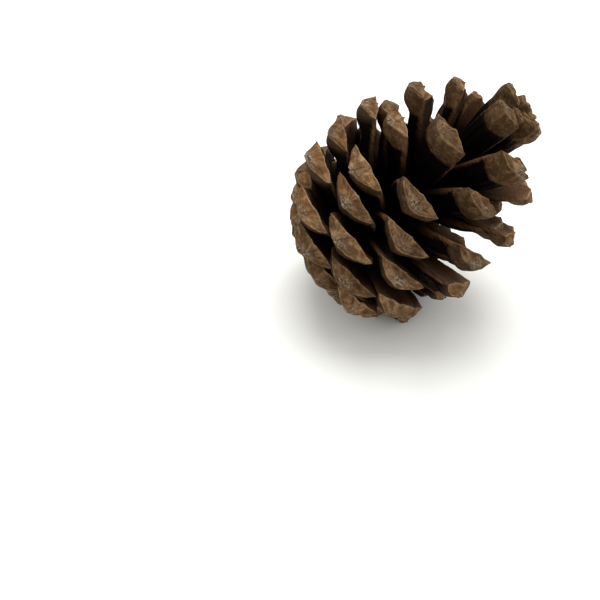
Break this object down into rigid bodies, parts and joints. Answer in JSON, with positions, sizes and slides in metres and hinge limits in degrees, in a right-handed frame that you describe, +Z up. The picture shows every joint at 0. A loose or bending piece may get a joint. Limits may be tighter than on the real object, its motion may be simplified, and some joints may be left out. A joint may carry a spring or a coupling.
{
  "type": "pine cone",
  "caption": "Open dry pine cone lying on its lower scales with the tip raised; woody scales in spirals, each with a thick rhombic end and a small umbo, round a central axis.",
  "frame": {"origin": "centre of the part's box at the surface it lies on", "axes": "+Z up; the cone's axis rises from the surface toward +X with its tip in the air; +Y is level, across the axis"},
  "size_m": [0.0549, 0.0457, 0.0541],
  "materials": {
    "dry_wood": "matt, dry, slightly rough"
  },
  "bodies": {
    "root": {"pine_cone": "dry_wood"}
  },
  "joints": []
}
